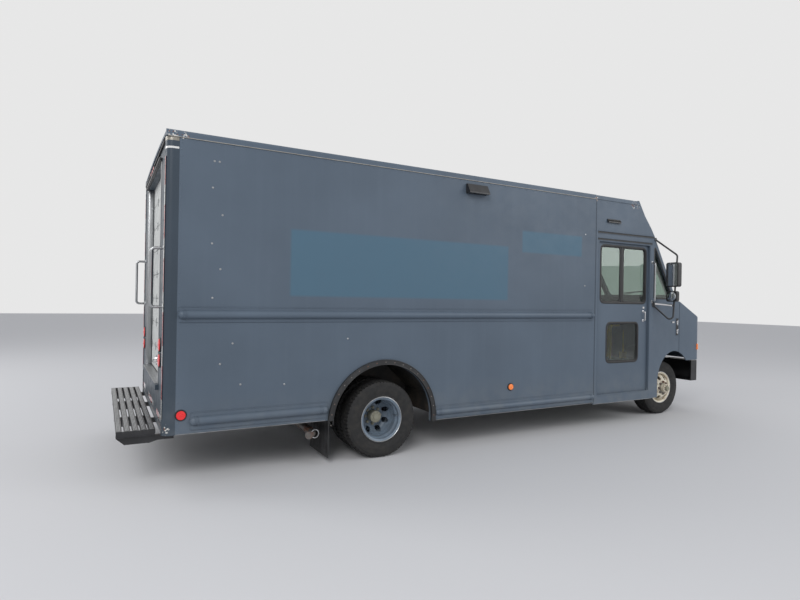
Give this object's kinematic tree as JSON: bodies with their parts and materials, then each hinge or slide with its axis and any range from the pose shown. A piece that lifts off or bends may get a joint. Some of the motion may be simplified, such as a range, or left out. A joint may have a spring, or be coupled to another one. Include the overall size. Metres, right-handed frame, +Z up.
{
  "type": "step van",
  "caption": "Walk-in step van with sliding cab doors, short tilting hood, roll-up rear door, rear step and dual rear wheels.",
  "frame": {"origin": "on the ground under the centre of the vehicle's box", "axes": "+X forward, +Y to the vehicle's left, +Z up"},
  "size_m": [7.62, 2.835, 2.8878],
  "materials": {
    "body_paint": "faded semi-gloss",
    "body_trim": "semi-gloss",
    "bright_metal": "brushed",
    "black_rubber": "matte",
    "black_paint": "satin",
    "tyre_rubber": "matte",
    "wheel_cream": "satin",
    "wheel_blue": "satin",
    "clear_glass": "smooth",
    "lamp_red": "glossy",
    "lamp_amber": "glossy",
    "lamp_clear": "smooth",
    "seat_vinyl": "matte",
    "dash_plastic": "matte",
    "rail_yellow": "semi-gloss",
    "floor_paint": "matte",
    "liner_paint": "satin",
    "engine_iron": "rough",
    "worn_steel": "worn"
  },
  "bodies": {
    "chassis": {"side_walls": "body_paint", "arch_panels": "body_paint", "rub_rails": "body_trim", "arch_flares": "black_rubber", "cargo_floor": "floor_paint", "roof": "liner_paint", "rear_frame": "body_paint", "roll_up_door": "liner_paint", "rear_step": "black_paint", "cab_sides": "body_paint", "cab_glass": "clear_glass", "roof_cap": "body_paint", "cab_front": "body_paint", "wheel_houses": "black_paint", "arch_liners": "black_paint", "cab_floor": "floor_paint", "bulkhead": "liner_paint", "door_tracks": "bright_metal", "front_bumper": "black_paint", "ladder_frame": "black_paint", "leaf_springs": "worn_steel", "rear_axle": "black_paint", "front_axle": "black_paint", "engine": "engine_iron", "engine_cover": "dash_plastic", "dashboard": "dash_plastic", "steering_column": "black_paint", "seat_base": "black_paint", "driver_seat": "seat_vinyl", "cab_rails": "rail_yellow", "fuel_tank": "black_paint", "exhaust": "worn_steel", "mud_flaps": "black_rubber", "mirrors": "black_paint", "red_lamps": "lamp_red", "amber_lamps": "lamp_amber", "side_hoods": "body_trim", "handles": "bright_metal"},
    "door_right": {"cab_door_right": "body_paint", "door_glass_right": "clear_glass", "door_handle_right": "bright_metal"},
    "door_left": {"cab_door_left": "body_paint", "door_glass_left": "clear_glass", "door_handle_left": "bright_metal"},
    "hood": {"hood": "body_paint", "grille": "black_paint", "headlamps": "lamp_clear", "corner_lamps": "lamp_amber"},
    "knuckle_right": {"knuckle_right": "black_paint"},
    "knuckle_left": {"knuckle_left": "black_paint"},
    "tie_rod": {"tie_rod": "black_paint"},
    "steering_wheel": {"steering_wheel": "dash_plastic"},
    "front_wheel_right": {"front_wheel_right": "wheel_cream", "front_tyre_right": "tyre_rubber"},
    "front_wheel_left": {"front_wheel_left": "wheel_cream", "front_tyre_left": "tyre_rubber"},
    "rear_wheels_right": {"rear_wheels_right": "wheel_blue", "rear_tyres_right": "tyre_rubber"},
    "rear_wheels_left": {"rear_wheels_left": "wheel_blue", "rear_tyres_left": "tyre_rubber"}
  },
  "joints": [
    {"name": "door_right_slide", "type": "slide", "parent": "chassis", "child": "door_right", "axis": [-1, 0, 0], "range_m": [0, 0.78]},
    {"name": "door_left_slide", "type": "slide", "parent": "chassis", "child": "door_left", "axis": [-1, 0, 0], "range_m": [0, 0.78]},
    {"name": "hood_tilt", "type": "hinge", "parent": "chassis", "child": "hood", "pos_m": [3.746, 0, 0.753], "axis": [0, 1, 0], "range_deg": [0, 60]},
    {"name": "steer_right", "type": "hinge", "parent": "chassis", "child": "knuckle_right", "pos_m": [3.013, -0.66, 0.372], "axis": [0, 0, 1], "range_deg": [-35, 35]},
    {"name": "steer_left", "type": "hinge", "parent": "chassis", "child": "knuckle_left", "pos_m": [3.013, 0.66, 0.372], "axis": [0, 0, 1], "range_deg": [-35, 35]},
    {"name": "tie_rod_pivot", "type": "hinge", "parent": "knuckle_right", "child": "tie_rod", "pos_m": [2.843, -0.66, 0.28], "axis": [0, 0, 1], "range_deg": [-35, 35]},
    {"name": "steering_wheel_turn", "type": "hinge", "parent": "chassis", "child": "steering_wheel", "pos_m": [2.573, 0.48, 1.4], "axis": [-0.788, 0, 0.6157], "range_deg": [-280, 280]},
    {"name": "front_wheel_right_spin", "type": "hinge", "parent": "knuckle_right", "child": "front_wheel_right", "pos_m": [3.013, -0.815, 0.372], "axis": [0, 1, 0], "continuous": true},
    {"name": "front_wheel_left_spin", "type": "hinge", "parent": "knuckle_left", "child": "front_wheel_left", "pos_m": [3.013, 0.815, 0.372], "axis": [0, 1, 0], "continuous": true},
    {"name": "rear_wheels_right_spin", "type": "hinge", "parent": "chassis", "child": "rear_wheels_right", "pos_m": [-1.508, -0.907, 0.372], "axis": [0, 1, 0], "continuous": true},
    {"name": "rear_wheels_left_spin", "type": "hinge", "parent": "chassis", "child": "rear_wheels_left", "pos_m": [-1.508, 0.907, 0.372], "axis": [0, 1, 0], "continuous": true}
  ],
  "couplings": [
    {"joint": "steer_left", "follows": "steer_right", "ratio": 1},
    {"joint": "tie_rod_pivot", "follows": "steer_right", "ratio": -1},
    {"joint": "steering_wheel_turn", "follows": "steer_right", "ratio": 8}
  ]
}
